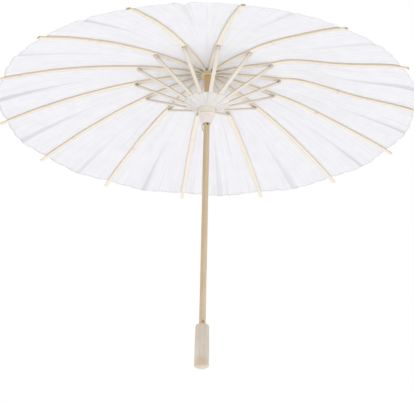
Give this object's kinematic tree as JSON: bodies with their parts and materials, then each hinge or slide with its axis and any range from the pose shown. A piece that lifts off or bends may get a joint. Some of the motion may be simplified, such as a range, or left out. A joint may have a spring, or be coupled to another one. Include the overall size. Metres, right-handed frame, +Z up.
{
  "type": "paper parasol",
  "caption": "Hand parasol with a shallow white paper canopy on bamboo ribs and stretchers, a sliding runner with a wire catch, a round shaft and a turned wooden grip.",
  "frame": {"origin": "middle of the grip, on the shaft's axis", "axes": "+Z up the shaft to the crown; +X along the first rib"},
  "size_m": [0.725, 0.7082, 0.5367],
  "materials": {
    "bamboo_rib": "pale split bamboo, satin, fine straight grain",
    "bamboo_strut": "pale split bamboo, satin",
    "paper": "thin white handmade paper, creased where it folds, slightly translucent",
    "shaft_bamboo": "straight tan bamboo rod, satin",
    "grip_wood": "turned pale wood, smooth, lightly rubbed",
    "hub_plastic": "ivory moulding, satin",
    "wire": "drawn steel wire",
    "thread": "twisted cotton thread"
  },
  "bodies": {
    "frame": {"shaft": "shaft_bamboo", "handle": "grip_wood", "crown": "hub_plastic", "crown_tie": "wire", "crown_cap": "hub_plastic"},
    "runner": {"runner": "hub_plastic", "runner_tie": "thread", "runner_collar": "paper"},
    "catch": {"spring_latch": "wire"},
    "rib_01": {"rib_01": "bamboo_rib"},
    "strut_01": {"strut_01": "bamboo_strut"},
    "panel_01": {"canopy_panel_01": "paper"},
    "rib_02": {"rib_02": "bamboo_rib"},
    "strut_02": {"strut_02": "bamboo_strut"},
    "panel_02": {"canopy_panel_02": "paper"},
    "rib_03": {"rib_03": "bamboo_rib"},
    "strut_03": {"strut_03": "bamboo_strut"},
    "panel_03": {"canopy_panel_03": "paper"},
    "rib_04": {"rib_04": "bamboo_rib"},
    "strut_04": {"strut_04": "bamboo_strut"},
    "panel_04": {"canopy_panel_04": "paper"},
    "rib_05": {"rib_05": "bamboo_rib"},
    "strut_05": {"strut_05": "bamboo_strut"},
    "panel_05": {"canopy_panel_05": "paper"},
    "rib_06": {"rib_06": "bamboo_rib"},
    "strut_06": {"strut_06": "bamboo_strut"},
    "panel_06": {"canopy_panel_06": "paper"},
    "rib_07": {"rib_07": "bamboo_rib"},
    "strut_07": {"strut_07": "bamboo_strut"},
    "panel_07": {"canopy_panel_07": "paper"},
    "rib_08": {"rib_08": "bamboo_rib"},
    "strut_08": {"strut_08": "bamboo_strut"},
    "panel_08": {"canopy_panel_08": "paper"},
    "rib_09": {"rib_09": "bamboo_rib"},
    "strut_09": {"strut_09": "bamboo_strut"},
    "panel_09": {"canopy_panel_09": "paper"},
    "rib_10": {"rib_10": "bamboo_rib"},
    "strut_10": {"strut_10": "bamboo_strut"},
    "panel_10": {"canopy_panel_10": "paper"},
    "rib_11": {"rib_11": "bamboo_rib"},
    "strut_11": {"strut_11": "bamboo_strut"},
    "panel_11": {"canopy_panel_11": "paper"},
    "rib_12": {"rib_12": "bamboo_rib"},
    "strut_12": {"strut_12": "bamboo_strut"},
    "panel_12": {"canopy_panel_12": "paper"},
    "rib_13": {"rib_13": "bamboo_rib"},
    "strut_13": {"strut_13": "bamboo_strut"},
    "panel_13": {"canopy_panel_13": "paper"},
    "rib_14": {"rib_14": "bamboo_rib"},
    "strut_14": {"strut_14": "bamboo_strut"},
    "panel_14": {"canopy_panel_14": "paper"}
  },
  "joints": [
    {"name": "runner_slide", "type": "slide", "parent": "frame", "child": "runner", "axis": [0, 0, 1], "range_m": [-0.16535, 0], "deforming": ["canopy_panel_01", "canopy_panel_02", "canopy_panel_03", "canopy_panel_04", "canopy_panel_05", "canopy_panel_06", "canopy_panel_07", "canopy_panel_08", "canopy_panel_09", "canopy_panel_10", "canopy_panel_11", "canopy_panel_12", "canopy_panel_13", "canopy_panel_14", "runner_collar", "runner_tie", "spring_latch"]},
    {"name": "catch_press", "type": "hinge", "parent": "frame", "child": "catch", "pos_m": [-0.0015, 0, 0.3712], "axis": [0, 1, 0], "range_deg": [0, 13], "stiffness_Nm_per_rad": 0.1},
    {"name": "rib_fold_01", "type": "hinge", "parent": "frame", "child": "rib_01", "pos_m": [0.015, 0, 0.4844], "axis": [0, 1, 0], "range_deg": [0, 74.05]},
    {"name": "strut_fold_01", "type": "hinge", "parent": "rib_01", "child": "strut_01", "pos_m": [0.126, 0, 0.46748], "axis": [0, -1, 0], "range_deg": [0, 135.06]},
    {"name": "panel_fold_01", "type": "hinge", "parent": "rib_01", "child": "panel_01", "pos_m": [-0.22007, -0.05023, 0.30726], "axis": [-0.7857, -0.1793, -0.5921], "range_deg": [0, 30.83]},
    {"name": "rib_fold_02", "type": "hinge", "parent": "frame", "child": "rib_02", "pos_m": [0.01351, 0.00651, 0.4844], "axis": [-0.4339, 0.901, 0], "range_deg": [0, 74.05]},
    {"name": "strut_fold_02", "type": "hinge", "parent": "rib_02", "child": "strut_02", "pos_m": [0.11352, 0.05467, 0.46748], "axis": [0.4339, -0.901, 0], "range_deg": [0, 135.06]},
    {"name": "panel_fold_02", "type": "hinge", "parent": "rib_02", "child": "panel_02", "pos_m": [-0.17648, -0.14074, 0.30726], "axis": [-0.6301, -0.5025, -0.5921], "range_deg": [0, 30.83]},
    {"name": "rib_fold_03", "type": "hinge", "parent": "frame", "child": "rib_03", "pos_m": [0.00935, 0.01173, 0.4844], "axis": [-0.7818, 0.6235, 0], "range_deg": [0, 74.05]},
    {"name": "strut_fold_03", "type": "hinge", "parent": "rib_03", "child": "strut_03", "pos_m": [0.07856, 0.09851, 0.46748], "axis": [0.7818, -0.6235, 0], "range_deg": [0, 135.06]},
    {"name": "panel_fold_03", "type": "hinge", "parent": "rib_03", "child": "panel_03", "pos_m": [-0.09794, -0.20338, 0.30726], "axis": [-0.3497, -0.7261, -0.5921], "range_deg": [0, 30.83]},
    {"name": "rib_fold_04", "type": "hinge", "parent": "frame", "child": "rib_04", "pos_m": [0.00334, 0.01462, 0.4844], "axis": [-0.9749, 0.2225, 0], "range_deg": [0, 74.05]},
    {"name": "strut_fold_04", "type": "hinge", "parent": "rib_04", "child": "strut_04", "pos_m": [0.02804, 0.12284, 0.46748], "axis": [0.9749, -0.2225, 0], "range_deg": [0, 135.06]},
    {"name": "panel_fold_04", "type": "hinge", "parent": "rib_04", "child": "panel_04", "pos_m": [0, -0.22573, 0.30726], "axis": [0, -0.8059, -0.5921], "range_deg": [0, 30.83]},
    {"name": "rib_fold_05", "type": "hinge", "parent": "frame", "child": "rib_05", "pos_m": [-0.00334, 0.01462, 0.4844], "axis": [-0.9749, -0.2225, 0], "range_deg": [0, 74.05]},
    {"name": "strut_fold_05", "type": "hinge", "parent": "rib_05", "child": "strut_05", "pos_m": [-0.02804, 0.12284, 0.46748], "axis": [0.9749, 0.2225, 0], "range_deg": [0, 135.06]},
    {"name": "panel_fold_05", "type": "hinge", "parent": "rib_05", "child": "panel_05", "pos_m": [0.09794, -0.20338, 0.30726], "axis": [0.3497, -0.7261, -0.5921], "range_deg": [0, 30.83]},
    {"name": "rib_fold_06", "type": "hinge", "parent": "frame", "child": "rib_06", "pos_m": [-0.00935, 0.01173, 0.4844], "axis": [-0.7818, -0.6235, 0], "range_deg": [0, 74.05]},
    {"name": "strut_fold_06", "type": "hinge", "parent": "rib_06", "child": "strut_06", "pos_m": [-0.07856, 0.09851, 0.46748], "axis": [0.7818, 0.6235, 0], "range_deg": [0, 135.06]},
    {"name": "panel_fold_06", "type": "hinge", "parent": "rib_06", "child": "panel_06", "pos_m": [0.17648, -0.14074, 0.30726], "axis": [0.6301, -0.5025, -0.5921], "range_deg": [0, 30.83]},
    {"name": "rib_fold_07", "type": "hinge", "parent": "frame", "child": "rib_07", "pos_m": [-0.01351, 0.00651, 0.4844], "axis": [-0.4339, -0.901, 0], "range_deg": [0, 74.05]},
    {"name": "strut_fold_07", "type": "hinge", "parent": "rib_07", "child": "strut_07", "pos_m": [-0.11352, 0.05467, 0.46748], "axis": [0.4339, 0.901, 0], "range_deg": [0, 135.06]},
    {"name": "panel_fold_07", "type": "hinge", "parent": "rib_07", "child": "panel_07", "pos_m": [0.22007, -0.05023, 0.30726], "axis": [0.7857, -0.1793, -0.5921], "range_deg": [0, 30.83]},
    {"name": "rib_fold_08", "type": "hinge", "parent": "frame", "child": "rib_08", "pos_m": [-0.015, 0, 0.4844], "axis": [0, -1, 0], "range_deg": [0, 74.05]},
    {"name": "strut_fold_08", "type": "hinge", "parent": "rib_08", "child": "strut_08", "pos_m": [-0.126, 0, 0.46748], "axis": [0, 1, 0], "range_deg": [0, 135.06]},
    {"name": "panel_fold_08", "type": "hinge", "parent": "rib_08", "child": "panel_08", "pos_m": [0.22007, 0.05023, 0.30726], "axis": [0.7857, 0.1793, -0.5921], "range_deg": [0, 30.83]},
    {"name": "rib_fold_09", "type": "hinge", "parent": "frame", "child": "rib_09", "pos_m": [-0.01351, -0.00651, 0.4844], "axis": [0.4339, -0.901, 0], "range_deg": [0, 74.05]},
    {"name": "strut_fold_09", "type": "hinge", "parent": "rib_09", "child": "strut_09", "pos_m": [-0.11352, -0.05467, 0.46748], "axis": [-0.4339, 0.901, 0], "range_deg": [0, 135.06]},
    {"name": "panel_fold_09", "type": "hinge", "parent": "rib_09", "child": "panel_09", "pos_m": [0.17648, 0.14074, 0.30726], "axis": [0.6301, 0.5025, -0.5921], "range_deg": [0, 30.83]},
    {"name": "rib_fold_10", "type": "hinge", "parent": "frame", "child": "rib_10", "pos_m": [-0.00935, -0.01173, 0.4844], "axis": [0.7818, -0.6235, 0], "range_deg": [0, 74.05]},
    {"name": "strut_fold_10", "type": "hinge", "parent": "rib_10", "child": "strut_10", "pos_m": [-0.07856, -0.09851, 0.46748], "axis": [-0.7818, 0.6235, 0], "range_deg": [0, 135.06]},
    {"name": "panel_fold_10", "type": "hinge", "parent": "rib_10", "child": "panel_10", "pos_m": [0.09794, 0.20338, 0.30726], "axis": [0.3497, 0.7261, -0.5921], "range_deg": [0, 30.83]},
    {"name": "rib_fold_11", "type": "hinge", "parent": "frame", "child": "rib_11", "pos_m": [-0.00334, -0.01462, 0.4844], "axis": [0.9749, -0.2225, 0], "range_deg": [0, 74.05]},
    {"name": "strut_fold_11", "type": "hinge", "parent": "rib_11", "child": "strut_11", "pos_m": [-0.02804, -0.12284, 0.46748], "axis": [-0.9749, 0.2225, 0], "range_deg": [0, 135.06]},
    {"name": "panel_fold_11", "type": "hinge", "parent": "rib_11", "child": "panel_11", "pos_m": [0, 0.22573, 0.30726], "axis": [0, 0.8059, -0.5921], "range_deg": [0, 30.83]},
    {"name": "rib_fold_12", "type": "hinge", "parent": "frame", "child": "rib_12", "pos_m": [0.00334, -0.01462, 0.4844], "axis": [0.9749, 0.2225, 0], "range_deg": [0, 74.05]},
    {"name": "strut_fold_12", "type": "hinge", "parent": "rib_12", "child": "strut_12", "pos_m": [0.02804, -0.12284, 0.46748], "axis": [-0.9749, -0.2225, 0], "range_deg": [0, 135.06]},
    {"name": "panel_fold_12", "type": "hinge", "parent": "rib_12", "child": "panel_12", "pos_m": [-0.09794, 0.20338, 0.30726], "axis": [-0.3497, 0.7261, -0.5921], "range_deg": [0, 30.83]},
    {"name": "rib_fold_13", "type": "hinge", "parent": "frame", "child": "rib_13", "pos_m": [0.00935, -0.01173, 0.4844], "axis": [0.7818, 0.6235, 0], "range_deg": [0, 74.05]},
    {"name": "strut_fold_13", "type": "hinge", "parent": "rib_13", "child": "strut_13", "pos_m": [0.07856, -0.09851, 0.46748], "axis": [-0.7818, -0.6235, 0], "range_deg": [0, 135.06]},
    {"name": "panel_fold_13", "type": "hinge", "parent": "rib_13", "child": "panel_13", "pos_m": [-0.17648, 0.14074, 0.30726], "axis": [-0.6301, 0.5025, -0.5921], "range_deg": [0, 30.83]},
    {"name": "rib_fold_14", "type": "hinge", "parent": "frame", "child": "rib_14", "pos_m": [0.01351, -0.00651, 0.4844], "axis": [0.4339, 0.901, 0], "range_deg": [0, 74.05]},
    {"name": "strut_fold_14", "type": "hinge", "parent": "rib_14", "child": "strut_14", "pos_m": [0.11352, -0.05467, 0.46748], "axis": [-0.4339, -0.901, 0], "range_deg": [0, 135.06]},
    {"name": "panel_fold_14", "type": "hinge", "parent": "rib_14", "child": "panel_14", "pos_m": [-0.22007, 0.05023, 0.30726], "axis": [-0.7857, 0.1793, -0.5921], "range_deg": [0, 30.83]}
  ],
  "couplings": [
    {"joint": "rib_fold_01", "follows": "runner_slide", "rad_per_m": -7.8112},
    {"joint": "strut_fold_01", "follows": "runner_slide", "rad_per_m": -14.251},
    {"joint": "panel_fold_01", "follows": "runner_slide", "rad_per_m": -3.2494},
    {"joint": "rib_fold_02", "follows": "runner_slide", "rad_per_m": -7.8112},
    {"joint": "strut_fold_02", "follows": "runner_slide", "rad_per_m": -14.251},
    {"joint": "panel_fold_02", "follows": "runner_slide", "rad_per_m": -3.2494},
    {"joint": "rib_fold_03", "follows": "runner_slide", "rad_per_m": -7.8112},
    {"joint": "strut_fold_03", "follows": "runner_slide", "rad_per_m": -14.251},
    {"joint": "panel_fold_03", "follows": "runner_slide", "rad_per_m": -3.2494},
    {"joint": "rib_fold_04", "follows": "runner_slide", "rad_per_m": -7.8112},
    {"joint": "strut_fold_04", "follows": "runner_slide", "rad_per_m": -14.251},
    {"joint": "panel_fold_04", "follows": "runner_slide", "rad_per_m": -3.2494},
    {"joint": "rib_fold_05", "follows": "runner_slide", "rad_per_m": -7.8112},
    {"joint": "strut_fold_05", "follows": "runner_slide", "rad_per_m": -14.251},
    {"joint": "panel_fold_05", "follows": "runner_slide", "rad_per_m": -3.2494},
    {"joint": "rib_fold_06", "follows": "runner_slide", "rad_per_m": -7.8112},
    {"joint": "strut_fold_06", "follows": "runner_slide", "rad_per_m": -14.251},
    {"joint": "panel_fold_06", "follows": "runner_slide", "rad_per_m": -3.2494},
    {"joint": "rib_fold_07", "follows": "runner_slide", "rad_per_m": -7.8112},
    {"joint": "strut_fold_07", "follows": "runner_slide", "rad_per_m": -14.251},
    {"joint": "panel_fold_07", "follows": "runner_slide", "rad_per_m": -3.2494},
    {"joint": "rib_fold_08", "follows": "runner_slide", "rad_per_m": -7.8112},
    {"joint": "strut_fold_08", "follows": "runner_slide", "rad_per_m": -14.251},
    {"joint": "panel_fold_08", "follows": "runner_slide", "rad_per_m": -3.2494},
    {"joint": "rib_fold_09", "follows": "runner_slide", "rad_per_m": -7.8112},
    {"joint": "strut_fold_09", "follows": "runner_slide", "rad_per_m": -14.251},
    {"joint": "panel_fold_09", "follows": "runner_slide", "rad_per_m": -3.2494},
    {"joint": "rib_fold_10", "follows": "runner_slide", "rad_per_m": -7.8112},
    {"joint": "strut_fold_10", "follows": "runner_slide", "rad_per_m": -14.251},
    {"joint": "panel_fold_10", "follows": "runner_slide", "rad_per_m": -3.2494},
    {"joint": "rib_fold_11", "follows": "runner_slide", "rad_per_m": -7.8112},
    {"joint": "strut_fold_11", "follows": "runner_slide", "rad_per_m": -14.251},
    {"joint": "panel_fold_11", "follows": "runner_slide", "rad_per_m": -3.2494},
    {"joint": "rib_fold_12", "follows": "runner_slide", "rad_per_m": -7.8112},
    {"joint": "strut_fold_12", "follows": "runner_slide", "rad_per_m": -14.251},
    {"joint": "panel_fold_12", "follows": "runner_slide", "rad_per_m": -3.2494},
    {"joint": "rib_fold_13", "follows": "runner_slide", "rad_per_m": -7.8112},
    {"joint": "strut_fold_13", "follows": "runner_slide", "rad_per_m": -14.251},
    {"joint": "panel_fold_13", "follows": "runner_slide", "rad_per_m": -3.2494},
    {"joint": "rib_fold_14", "follows": "runner_slide", "rad_per_m": -7.8112},
    {"joint": "strut_fold_14", "follows": "runner_slide", "rad_per_m": -14.251},
    {"joint": "panel_fold_14", "follows": "runner_slide", "rad_per_m": -3.2494}
  ]
}
